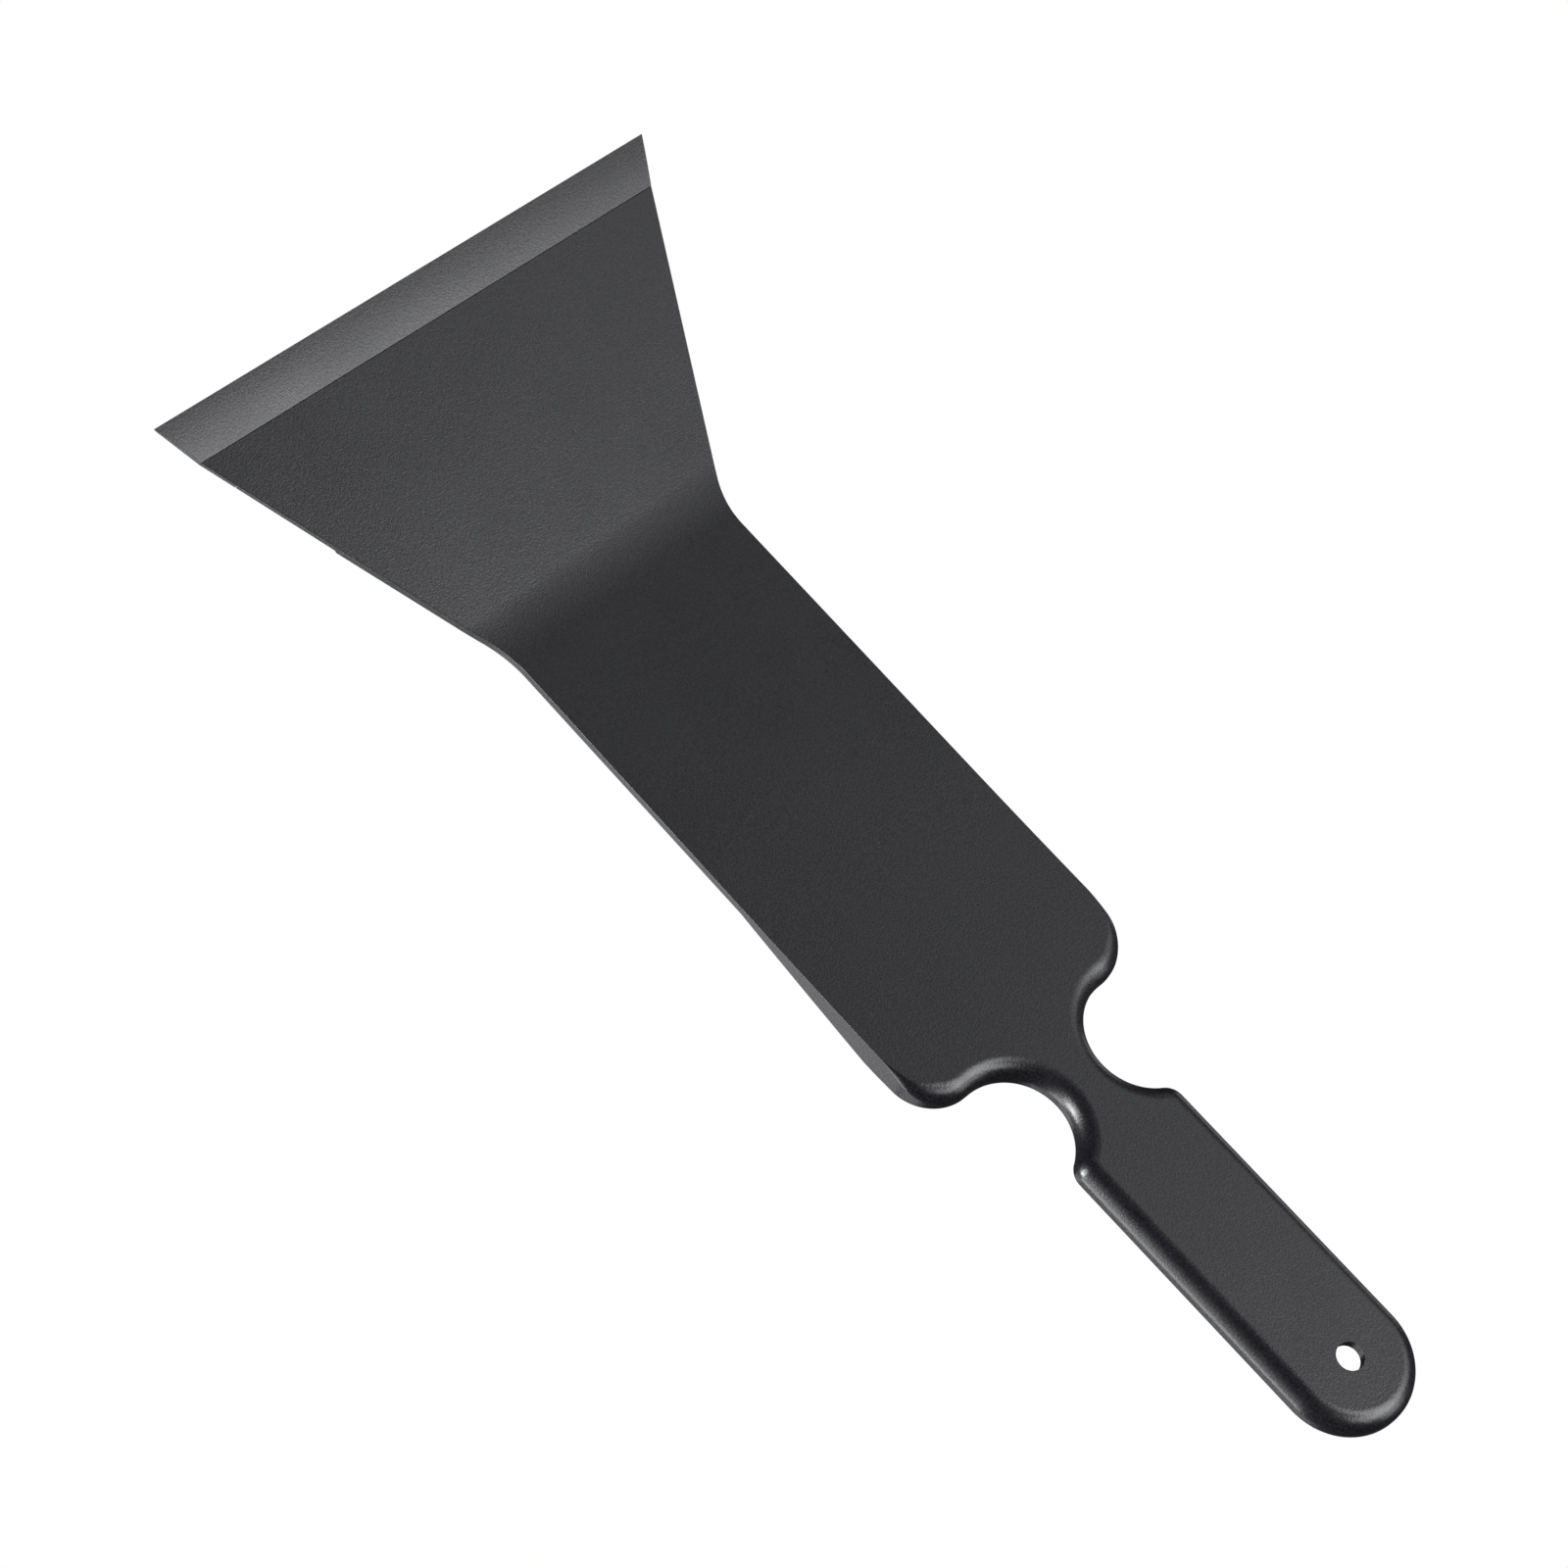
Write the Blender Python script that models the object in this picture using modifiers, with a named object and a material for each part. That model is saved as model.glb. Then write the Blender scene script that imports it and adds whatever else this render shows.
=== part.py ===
"""Window tint squeegee: a long moulded body with a bent-up head, and a blade lapped under its front lip.

Metres, +Z up. The tool lies along Y, its head towards +Y and its flat palm face up. The origin is on
the surface that the tool stands on, under the middle of its length and width. The shapes themselves
are drawn from the waist line, which joins the hollow corners between the flared head and the shaft.
"""

import math

import bmesh
import bpy


# Sizes in plan. Lengths are measured from the waist line unless they say otherwise.
HEAD_WIDTH = 0.1400          # across the blade's front corners
HEAD_LENGTH = 0.0659         # to the blade, seen from above
SHAFT_WIDTH = 0.0650
SHAFT_LENGTH = 0.1359        # to the rear of the ears
WAIST_RADIUS = 0.0265        # in the hollow corners between the head and the shaft
EAR_RADIUS = 0.0108          # of the shaft's rear corners
NOTCH_RADIUS = 0.01367       # of each finger notch
NOTCH_SWEEP = 148.9          # degrees of each notch that are a true arc
NECK_WIDTH = 0.01356         # between the two notches
HANDLE_WIDTH = 0.0314
HANDLE_LENGTH = 0.1082       # from the rear of the ears to the end of the handle
SHOULDER_RADIUS = 0.00475    # where a notch runs out into the handle's side
HOLE_DIAMETER = 0.0063
HOLE_FROM_END = 0.0155       # from the end of the handle to the hanging hole's centre

# Sizes of the top face in side view: level rear, palm face that rises a little, bend, and head.
PALM_TILT = 1.35             # degrees that the palm face rises
HEAD_TILT = 17.4             # degrees that the head rises
PALM_REAR = 0.0800           # behind the waist line, where the palm face has its full tilt
BEND_START = 0.0050          # behind the waist line, where the palm face turns up into the head
BEND_RADIUS = 0.0520

# Sizes in thickness.
PLATE = 0.00213              # head, and front of the shaft
STEP_PLATE = 0.00158         # head just in front of its step
LINE_PLATE = 0.00115         # head at the blade, to which it tapers from the step
STEP_PLACE = 0.0370          # from the waist line to the step, where the head gets thinner
STEP_RUN = 0.0004            # length of the step's slope
REAR_DEPTH = 0.0069          # rear of the shaft, neck and handle
RAMP_LENGTH = 0.0401         # over which the shaft's underside drops to that depth
LEVEL_LENGTH = 0.0089        # level stretch between the ramp and the ears' corners
TOP_ROUND = 0.0042           # on the top edges of the notches and the handle
FOOT_ROUND = 0.0016          # on their bottom edges
FADE_LEAD = 0.0070           # along the shaft's edge before an ear's corner, where those rounds start
FADE_END = 60.0              # degrees round an ear at which they are full

# Sizes of the hollow underside.
SKIN = 0.0026                # over the pockets
RIM = 0.0024                 # wall all round the pockets
NECK_BLOCK = 0.0230          # length of the solid neck between the pockets
POCKET_ROUND = 0.0010        # on the pockets' inner edges
RIB_THICKNESS = 0.0016
RIB_SPACING = 0.0078         # between the two ribs' middles
RIB_RECESS = 0.0008          # of the ribs' edges above the rim's foot
RIB_REACH = 0.0450           # from the neck's middle to where the ribs start to run out
RIB_RUNOUT = 0.0180          # over which they run out into the handle's skin

# Sizes of the blade and its seat.
BLADE_REACH = 0.0111         # of the blade in front of the head, along the blade
BLADE_TILT = 7.8             # degrees that it rises out of the head's plane
BLADE_TIP = 0.0004           # thickness of its front edge
LIP = 0.0005                 # thickness of the head's lip over the blade's tongue
LAP = 0.0080                 # length of the lip
SEAT_GAP = 0.0003            # clearance between the blade and its seat

# Fineness of the round stretches, and how far a cutter runs past the faces it cuts.
WAIST_STEPS = 10
BOW_STEPS = 3
BEND_STEPS = 12
LEAD_STEPS = 6
EAR_STEPS = 20
NOTCH_STEPS = 32
SHOULDER_STEPS = 8
END_STEPS = 28
ROUND_STEPS = 8
FOOT_STEPS = 4
HOLE_STEPS = 48
CLEAR = 0.0050
MERGE = 0.000001

# Colours, linear, and finish.
BODY_COLOUR = (0.040, 0.041, 0.044, 1.0)
BODY_ROUGHNESS = 0.45
BLADE_COLOUR = (0.085, 0.086, 0.088, 1.0)
BLADE_ROUGHNESS = 0.55

# Places that follow from the sizes.
PALM = math.radians(PALM_TILT)
TILT = math.radians(HEAD_TILT)
BLADE_ANGLE = TILT + math.radians(BLADE_TILT)
TIP_FRONT = HEAD_LENGTH + BLADE_REACH * math.cos(BLADE_ANGLE)
FLARE = (HEAD_WIDTH - SHAFT_WIDTH) / 2 / TIP_FRONT
FLARE_ANGLE = math.atan(FLARE)
WAIST_TANGENT = WAIST_RADIUS * math.tan(FLARE_ANGLE / 2)
BEND_END = BEND_RADIUS * (math.sin(TILT) - math.sin(PALM)) - BEND_START
EAR_X = SHAFT_WIDTH / 2 - EAR_RADIUS
EAR_Y = -SHAFT_LENGTH + EAR_RADIUS
RAMP_FOOT = EAR_Y + LEVEL_LENGTH
RAMP_HEAD = RAMP_FOOT + RAMP_LENGTH
NOTCH_X = NECK_WIDTH / 2 + NOTCH_RADIUS
NOTCH_Y = -SHAFT_LENGTH - NOTCH_RADIUS
HANDLE_END = -SHAFT_LENGTH - HANDLE_LENGTH
END_CENTRE = HANDLE_END + HANDLE_WIDTH / 2


def side(y):
    """Half the width of the head and shaft at y: flared head, hollow waist corner, straight shaft."""
    if y <= -WAIST_TANGENT:
        return SHAFT_WIDTH / 2
    if y >= WAIST_TANGENT * math.cos(FLARE_ANGLE):
        return SHAFT_WIDTH / 2 + FLARE * y
    rise = y + WAIST_TANGENT
    return SHAFT_WIDTH / 2 + WAIST_RADIUS - math.sqrt(WAIST_RADIUS ** 2 - rise ** 2)


def climb(y):
    """Height of the top face at y above its level rear, and its slope there. It turns in circular arcs."""
    turns = ((RAMP_FOOT, 0.0), (-PALM_REAR, PALM), (-BEND_START, PALM), (BEND_END, TILT))
    height = 0.0
    slope = 0.0
    for (rear, rear_slope), (front, front_slope) in zip(turns, turns[1:]):
        share = min(max((y - rear) / (front - rear), 0.0), 1.0)
        if share > 0:
            slope = math.asin(math.sin(rear_slope) + share * (math.sin(front_slope) - math.sin(rear_slope)))
            height += share * (front - rear) * math.tan((rear_slope + slope) / 2)
    return height + max(y - BEND_END, 0.0) * math.tan(TILT), slope


def top(y):
    return climb(y)[0]


def depth(y):
    """Thickness of the body at y, square to its top face."""
    if y >= STEP_PLACE:
        share = min((y - STEP_PLACE) / STEP_RUN, 1.0)
        taper = (y - STEP_PLACE) / (HEAD_LENGTH - STEP_PLACE)
        return PLATE + (STEP_PLATE + (LINE_PLATE - STEP_PLATE) * taper - PLATE) * share
    share = min(max((RAMP_HEAD - y) / RAMP_LENGTH, 0.0), 1.0)
    return PLATE + (REAR_DEPTH - PLATE) * share


def underside(y):
    """Height of the bottom face at y."""
    height, slope = climb(y)
    return height - depth(y) / math.cos(slope)


def ramp_place(height):
    """y on the ramp where the underside has a given height, found by halving."""
    rear = RAMP_FOOT
    front = RAMP_HEAD
    while front - rear > MERGE:
        middle = (rear + front) / 2
        if underside(middle) < height:
            rear = middle
        else:
            front = middle
    return rear


def head_point(back, down):
    """(y, z) of a point of the head: a distance along it behind the blade, and one below its top face."""
    y = HEAD_LENGTH - back * math.cos(TILT) + down * math.sin(TILT)
    return y, top(HEAD_LENGTH) - back * math.sin(TILT) - down * math.cos(TILT)


def arc(x, y, radius, start, end, steps, hollow=False):
    """Points (x, y, outward angle) along an arc given in degrees. A hollow arc faces its own centre."""
    points = []
    for i in range(steps + 1):
        angle = math.radians(start + (end - start) * i / steps)
        facing = angle + math.pi if hollow else angle
        points.append((x + radius * math.cos(angle), y + radius * math.sin(angle), facing))
    return points


def stations():
    """Places along the head and shaft, front to rear, where the outline or the thickness turns."""
    places = [HEAD_LENGTH, STEP_PLACE + STEP_RUN, STEP_PLACE, RAMP_HEAD]
    for i in range(BOW_STEPS + 1):
        places.append(RAMP_FOOT - (PALM_REAR + RAMP_FOOT) * i / BOW_STEPS)
    for i in range(BEND_STEPS + 1):
        turned = PALM + (TILT - PALM) * i / BEND_STEPS
        places.append(BEND_RADIUS * (math.sin(turned) - math.sin(PALM)) - BEND_START)
    for i in range(WAIST_STEPS + 1):
        places.append(WAIST_RADIUS * math.sin(FLARE_ANGLE * i / WAIST_STEPS) - WAIST_TANGENT)
    for i in range(LEAD_STEPS):
        places.append(EAR_Y + FADE_LEAD * (i + 1) / LEAD_STEPS)
    return sorted(places, reverse=True)


def fade(run):
    """Share of the full edge rounds, a distance along the edge past the start of an ear's corner."""
    share = (run + FADE_LEAD) / (FADE_LEAD + EAR_RADIUS * math.radians(FADE_END))
    share = min(max(share, 0.0), 1.0)
    return share * share * (3 - 2 * share)


def head_and_shaft():
    """Right side of the head and shaft. Each point ends in its share of the full edge rounds."""
    return [(side(y), y, 0.0, fade(EAR_Y - y)) for y in stations()]


def ear():
    """Right rear corner of the shaft."""
    points = arc(EAR_X, EAR_Y, EAR_RADIUS, 0, -90, EAR_STEPS)
    return [(x, y, facing, fade(-facing * EAR_RADIUS)) for x, y, facing in points]


def notch_and_handle():
    """Right finger notch, the shoulder where it runs out into the handle, and half the handle's end."""
    points = arc(NOTCH_X, NOTCH_Y, NOTCH_RADIUS, 90, 90 + NOTCH_SWEEP, NOTCH_STEPS, hollow=True)
    last_x, last_y, _ = points[-1]
    turn = math.radians(NOTCH_SWEEP - 90)
    run = (HANDLE_WIDTH / 2 - last_x) / math.cos(math.pi / 2 - turn)
    corner_y = last_y - run * math.sin(math.pi / 2 - turn)
    radius = min(SHOULDER_RADIUS, run / math.tan(turn / 2))
    shoulder_y = corner_y - radius * math.tan(turn / 2)
    shoulder_x = HANDLE_WIDTH / 2 - radius
    points += arc(shoulder_x, shoulder_y, radius, math.degrees(turn), 0, SHOULDER_STEPS)
    points += arc(0, END_CENTRE, HANDLE_WIDTH / 2, 0, -90, END_STEPS)
    return [(x, y, facing, 1.0) for x, y, facing in points]


def edge_levels():
    """Levels of the body's side wall, top to bottom: how far in, from which face, and how far off it."""
    levels = []
    for i in range(ROUND_STEPS + 1):
        turn = math.pi / 2 * i / ROUND_STEPS
        levels.append((TOP_ROUND * (1 - math.sin(turn)), top, -TOP_ROUND * (1 - math.cos(turn))))
    for i in range(FOOT_STEPS + 1):
        turn = math.pi / 2 * i / FOOT_STEPS
        levels.append((FOOT_ROUND * (1 - math.cos(turn)), underside, FOOT_ROUND * (1 - math.sin(turn))))
    return levels


def loft_body():
    """The body without its pockets, lofted through one ring of points at each level.

    The rings follow one outline, drawn in by the edge rounds, which fade to nothing round the ears.
    """
    front = head_and_shaft()
    right = front + ear() + notch_and_handle()
    left = [(-x, y, math.pi - facing, share) for x, y, facing, share in right[-2::-1]]
    shape = bmesh.new()
    rings = []
    for inset, face, lift in edge_levels():
        ring = []
        for x, y, facing, share in right + left:
            ring_x = x - inset * share * math.cos(facing)
            ring_y = y - inset * share * math.sin(facing)
            ring.append(shape.verts.new((ring_x, ring_y, face(y) + lift * share)))
        rings.append(ring)
    count = len(right + left)
    for upper, lower in zip(rings, rings[1:]):
        for i in range(count):
            j = (i + 1) % count
            shape.faces.new((upper[i], upper[j], lower[j], lower[i]))
    for ring in (rings[0], rings[-1]):
        for i in range(len(front)):
            shape.faces.new((ring[i], ring[i + 1], ring[-2 - i], ring[-1 - i]))
        shape.faces.new(ring[len(front):count - len(front)])
    bmesh.ops.remove_doubles(shape, verts=shape.verts, dist=MERGE)
    bmesh.ops.recalc_face_normals(shape, faces=shape.faces)
    mesh = bpy.data.meshes.new("squeegee_body")
    shape.to_mesh(mesh)
    shape.free()
    return mesh


def add_object(name, mesh, collection, parent):
    item = bpy.data.objects.new(name, mesh)
    collection.objects.link(item)
    item.parent = parent
    return item


def prism(name, points, thickness, collection, parent):
    """A closed outline as a plate, centred on its own plane, whose two faces are one polygon each."""
    curve = bpy.data.curves.new(name, "CURVE")
    curve.dimensions = "2D"
    curve.fill_mode = "NONE"
    curve.extrude = thickness / 2
    spline = curve.splines.new("POLY")
    spline.points.add(len(points) - 1)
    for point, (x, y) in zip(spline.points, points):
        point.co = (x, y, 0, 1)
    spline.use_cyclic_u = True
    outline = add_object(name + "_outline", curve, collection, parent)
    bpy.context.view_layer.update()
    evaluated = outline.evaluated_get(bpy.context.evaluated_depsgraph_get())
    mesh = bpy.data.meshes.new_from_object(evaluated)
    bpy.data.objects.remove(outline)
    bpy.data.curves.remove(curve)
    shape = bmesh.new()
    shape.from_mesh(mesh)
    bmesh.ops.remove_doubles(shape, verts=shape.verts, dist=MERGE)
    bmesh.ops.holes_fill(shape, edges=shape.edges)
    bmesh.ops.recalc_face_normals(shape, faces=shape.faces)
    shape.to_mesh(mesh)
    shape.free()
    return add_object(name, mesh, collection, parent)


def stand_up(item, x):
    """Turn a prism drawn in (y, z) so that it stands across the tool at x."""
    item.rotation_euler = (math.pi / 2, 0, math.pi / 2)
    item.location = (x, 0, 0)


def mirrored(points):
    """Both halves of an outline from its right half, as (x, y)."""
    right = [point[:2] for point in points]
    return right + [(-x, y) for x, y in reversed(right) if x > MERGE]


def block_angle():
    """Degrees of the neck's inner walls, seen from a notch's centre, taken up by half the neck block."""
    return math.degrees(math.asin(NECK_BLOCK / 2 / (NOTCH_RADIUS + RIM)))


def shaft_pocket():
    """Outline of the pocket under the rear of the shaft. Its front lies below the thin plate."""
    inner = SHAFT_WIDTH / 2 - RIM
    points = [(inner, RAMP_HEAD + CLEAR)]
    points += arc(EAR_X, EAR_Y, EAR_RADIUS - RIM, 0, -90, EAR_STEPS)
    points += arc(NOTCH_X, NOTCH_Y, NOTCH_RADIUS + RIM, 90, 180 - block_angle(), NOTCH_STEPS // 2)
    return mirrored(points)


def handle_pocket():
    """Outline of the pocket under the handle, from the neck block to the rounded end."""
    inner = HANDLE_WIDTH / 2 - RIM
    meet = 180 + math.degrees(math.acos((NOTCH_X - inner) / (NOTCH_RADIUS + RIM)))
    points = arc(NOTCH_X, NOTCH_Y, NOTCH_RADIUS + RIM, 180 + block_angle(), meet, NOTCH_STEPS // 2)
    points += arc(0, END_CENTRE, inner, 0, -90, END_STEPS)
    return mirrored(points)


def rib_profile():
    """Side view of a rib as (y, z): out of the shaft's skin, through the neck, into the handle's skin."""
    start = ramp_place(-SKIN - RIB_RECESS)
    edge = RIB_RECESS - REAR_DEPTH
    run_out = NOTCH_Y - RIB_REACH
    root = -SKIN / 2
    lower = [(start, root), (start, -SKIN), (RAMP_FOOT, edge), (run_out, edge)]
    return lower + [(run_out - RIB_RUNOUT, -SKIN), (run_out - RIB_RUNOUT, root)]


def blade_profile():
    """Side view of the blade as (y, z): tongue under the lip, shoulder behind the lip, thin front edge."""
    slot = LIP + SEAT_GAP
    back = LAP - SEAT_GAP
    shoulder_y = HEAD_LENGTH + SEAT_GAP
    tongue_top = head_point(back, slot)
    tongue_root = (shoulder_y, top(shoulder_y) - slot / math.cos(TILT))
    shoulder = (shoulder_y, top(HEAD_LENGTH) + SEAT_GAP * math.tan(BLADE_ANGLE))
    tip_z = top(HEAD_LENGTH) + BLADE_REACH * math.sin(BLADE_ANGLE)
    tip_top = (TIP_FRONT, tip_z)
    tip_bottom = (TIP_FRONT, tip_z - BLADE_TIP / math.cos(BLADE_ANGLE))
    heel = head_point(0, LINE_PLATE)
    tongue_y = head_point(back, STEP_PLATE)[0]
    tongue_bottom = (tongue_y, underside(tongue_y))
    return [tongue_top, tongue_root, shoulder, tip_top, tip_bottom, heel, tongue_bottom]


def combine(target, other, operation):
    modifier = target.modifiers.new(other.name, "BOOLEAN")
    modifier.object = other
    modifier.operation = operation
    modifier.solver = "EXACT"


def round_edges(item, width, segments):
    modifier = item.modifiers.new("round", "BEVEL")
    modifier.width = width
    modifier.segments = segments
    modifier.limit_method = "ANGLE"
    modifier.angle_limit = math.radians(30)


def plastic(name, colour, roughness):
    material = bpy.data.materials.new(name)
    material.use_nodes = True
    shader = material.node_tree.nodes["Principled BSDF"]
    shader.inputs["Base Color"].default_value = colour
    shader.inputs["Roughness"].default_value = roughness
    shader.inputs["Metallic"].default_value = 0.0
    return material


def make_body(parts, cutters, datum):
    body = add_object("squeegee_body", loft_body(), parts, datum)
    body.data.materials.append(plastic("body_plastic", BODY_COLOUR, BODY_ROUGHNESS))
    pocket_depth = REAR_DEPTH - SKIN + CLEAR
    for name, outline in (("shaft_pocket", shaft_pocket()), ("handle_pocket", handle_pocket())):
        pocket = prism(name, outline, pocket_depth, cutters, datum)
        pocket.location = (0, 0, -SKIN - pocket_depth / 2)
        round_edges(pocket, POCKET_ROUND, 2)
        combine(body, pocket, "DIFFERENCE")
    for name, x in (("right_rib", RIB_SPACING / 2), ("left_rib", -RIB_SPACING / 2)):
        rib = prism(name, rib_profile(), RIB_THICKNESS, cutters, datum)
        stand_up(rib, x)
        combine(body, rib, "UNION")
    bpy.ops.mesh.primitive_cylinder_add(vertices=HOLE_STEPS, radius=HOLE_DIAMETER / 2, depth=2 * CLEAR)
    hole = adopt(bpy.context.object, "hanging_hole", cutters, datum)
    hole.location = (0, HANDLE_END + HOLE_FROM_END, -SKIN / 2)
    combine(body, hole, "DIFFERENCE")
    length = LAP + CLEAR
    height = STEP_PLATE - LIP + CLEAR
    bpy.ops.mesh.primitive_cube_add(size=1)
    rebate = adopt(bpy.context.object, "blade_rebate", cutters, datum)
    for vertex in rebate.data.vertices:
        x, y, z = vertex.co
        vertex.co = (x * (HEAD_WIDTH + CLEAR), y * length, z * height)
    rebate.rotation_euler = (TILT, 0, 0)
    rebate.location = (0, *head_point(LAP - length / 2, LIP + height / 2))
    combine(body, rebate, "DIFFERENCE")
    return body


def adopt(item, name, collection, parent):
    """Name an object that an operator added, and move it to its own collection and parent."""
    for holder in list(item.users_collection):
        holder.objects.unlink(item)
    collection.objects.link(item)
    item.name = name
    item.parent = parent
    return item


def make_blade(parts, cutters, datum):
    """The blade's side view, drawn across the tool and trimmed to the head's flare."""
    blade = prism("blade_strip", blade_profile(), HEAD_WIDTH + CLEAR, parts, datum)
    stand_up(blade, 0)
    blade.data.materials.append(plastic("blade_plastic", BLADE_COLOUR, BLADE_ROUGHNESS))
    rear = HEAD_LENGTH - LAP - CLEAR
    front = TIP_FRONT + CLEAR
    height = 2 * (top(front) + CLEAR)
    flare = prism("flare", mirrored([(side(front), front), (side(rear), rear)]), height, cutters, datum)
    combine(blade, flare, "INTERSECT")
    return blade


for old in list(bpy.data.objects):
    bpy.data.objects.remove(old)
part_collection = bpy.data.collections.new("window_tint_squeegee")
cutter_collection = bpy.data.collections.new("cutters")
bpy.context.scene.collection.children.link(part_collection)
bpy.context.scene.collection.children.link(cutter_collection)
waist_line = add_object("waist_line", None, part_collection, None)
waist_line.location = (0, -(TIP_FRONT + HANDLE_END) / 2, REAR_DEPTH)
make_body(part_collection, cutter_collection, waist_line)
make_blade(part_collection, cutter_collection, waist_line)
for cutter in cutter_collection.objects:
    cutter.hide_render = True
    cutter.display_type = "WIRE"
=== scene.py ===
"""The window tint squeegee, dressed for its portrait. Metres, +Z up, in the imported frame's own axes."""

import math

import bmesh
import bpy
from mathutils import Matrix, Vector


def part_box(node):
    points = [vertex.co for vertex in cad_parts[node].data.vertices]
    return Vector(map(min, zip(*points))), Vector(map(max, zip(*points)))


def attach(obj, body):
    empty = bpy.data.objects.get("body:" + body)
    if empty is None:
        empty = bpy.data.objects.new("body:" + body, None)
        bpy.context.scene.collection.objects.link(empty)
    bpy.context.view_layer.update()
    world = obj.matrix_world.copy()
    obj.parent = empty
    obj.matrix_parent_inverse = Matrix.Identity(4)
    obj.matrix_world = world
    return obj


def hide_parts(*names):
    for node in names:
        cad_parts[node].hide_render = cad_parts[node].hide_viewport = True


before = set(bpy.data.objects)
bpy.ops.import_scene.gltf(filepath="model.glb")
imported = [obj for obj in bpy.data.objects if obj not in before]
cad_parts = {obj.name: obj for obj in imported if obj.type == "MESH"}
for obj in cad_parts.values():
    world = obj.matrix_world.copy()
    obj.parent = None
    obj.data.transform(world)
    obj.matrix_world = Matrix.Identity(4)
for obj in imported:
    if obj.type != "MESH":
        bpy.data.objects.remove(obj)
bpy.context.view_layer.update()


# The photographer's table: a pane of clear acrylic in a dim room, with a white sweep that only the
# camera sees, so that the tool throws no shadow. Soft lamps stand to the right and behind the handle,
# a bright pair shines along the table from the left, and low ones light the walls through the pane.
CAMERA_PLACE = (-0.36638, -0.14178, 0.66419)
CAMERA_TURN = (28.7697, -12.7108, -43.4704)
CAMERA_LENS = 81.882
SENSOR_WIDTH = 36.0
ROOM_GLOW = 0.045
LAMP_DISTANCE = 1.2
LAMP_SIZE = 0.45
DAYLIGHT = (0.99, 0.993, 1.02)
PANE_SIZE = 4.0
PANE_VEIL = 0.01
WHITE = (1.0, 1.0, 1.0, 1.0)

bpy.context.scene.view_settings.view_transform = "Standard"
lens = bpy.data.cameras.new("camera")
lens.lens = CAMERA_LENS
lens.sensor_width = SENSOR_WIDTH
camera = bpy.data.objects.new("camera", lens)
camera.location = CAMERA_PLACE
camera.rotation_euler = [math.radians(angle) for angle in CAMERA_TURN]
bpy.context.collection.objects.link(camera)
bpy.context.scene.camera = camera

room = bpy.data.worlds.new("studio")
room.use_nodes = True
room_nodes = room.node_tree.nodes
room_nodes["Background"].inputs["Color"].default_value = WHITE
light_path = room_nodes.new("ShaderNodeLightPath")
sweep = room_nodes.new("ShaderNodeMath")
sweep.operation = "MULTIPLY_ADD"
sweep.inputs[1].default_value = 1.0 - ROOM_GLOW
sweep.inputs[2].default_value = ROOM_GLOW
room.node_tree.links.new(light_path.outputs["Is Camera Ray"], sweep.inputs[0])
room.node_tree.links.new(sweep.outputs[0], room_nodes["Background"].inputs["Strength"])
bpy.context.scene.world = room


def softbox(name, azimuth, elevation, power):
    """A square lamp aimed at the tool. Azimuth 0 is over the head's end and 90 to its right."""
    turn = math.radians(azimuth)
    rise = math.radians(elevation)
    lamp = bpy.data.lights.new(name, "AREA")
    lamp.size = LAMP_SIZE
    lamp.energy = power
    lamp.color = DAYLIGHT
    item = bpy.data.objects.new(name, lamp)
    item.visible_camera = False
    flat = LAMP_DISTANCE * math.cos(rise)
    item.location = (flat * math.sin(turn), flat * math.cos(turn), LAMP_DISTANCE * math.sin(rise))
    item.rotation_euler = (math.pi / 2 - rise, 0, math.pi - turn)
    bpy.context.collection.objects.link(item)


softbox("right_rear_high", 144, 58, 5.1)
softbox("right_rear_middle", 154, 38, 5.7)
softbox("right_rear_low", 158, 15, 2.3)
softbox("right_quarter", 129, 38, 1.9)
softbox("right_middle", 103, 38, 0.9)
softbox("right_low", 90, -8, 0.8)
softbox("right_high", 90, 58, 0.8)
softbox("front_right_high", 36, 58, 0.5)
softbox("front_right_middle", 51, 38, 0.7)
softbox("rear_middle", 180, 38, 4.0)
softbox("left_strip_low", -68, -8, 21.0)
softbox("left_strip_high", -68, 15, 6.0)
softbox("left_low", -90, -8, 1.2)
softbox("left_below", -90, -35, 4.8)
softbox("front_left_below", -60, -62, 1.0)
softbox("rear_left_below", -120, -62, 0.8)

bpy.ops.mesh.primitive_plane_add(size=PANE_SIZE)
pane = bpy.context.object
pane.name = "clear_table"
pane.visible_diffuse = False
pane.visible_glossy = False
pane.visible_transmission = False
pane.visible_shadow = False
acrylic = bpy.data.materials.new("clear_acrylic")
acrylic.use_nodes = True
acrylic_shader = acrylic.node_tree.nodes["Principled BSDF"]
acrylic_shader.inputs["Base Color"].default_value = (0.0, 0.0, 0.0, 1.0)
acrylic_shader.inputs["Specular IOR Level"].default_value = 0.0
acrylic_shader.inputs["Emission Color"].default_value = WHITE
acrylic_shader.inputs["Emission Strength"].default_value = 1.0
acrylic_shader.inputs["Alpha"].default_value = PANE_VEIL
pane.data.materials.append(acrylic)


# Body: the whole tool but its blade, injection-moulded in one shot of black glass-filled nylon with a
# fine eroded grain. A flat palm face and head with a soft bend between them have crisp edges, and soft
# rounds grow out of the ears and run round the notches and the handle. It is cored below.

# The plan, measured from the waist line, with angles in degrees.
HEAD_WIDTH = 0.1400
HEAD_LENGTH = 0.0659
SHAFT_WIDTH = 0.0650
SHAFT_LENGTH = 0.1359
WAIST_RADIUS = 0.0265
EAR_RADIUS = 0.0108
NOTCH_RADIUS = 0.01367
NOTCH_SWEEP = 148.9
NECK_WIDTH = 0.01356
HANDLE_WIDTH = 0.0314
HANDLE_LENGTH = 0.1082
SHOULDER_RADIUS = 0.00475
HOLE_DIAMETER = 0.0063
HOLE_FROM_END = 0.0155

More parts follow.
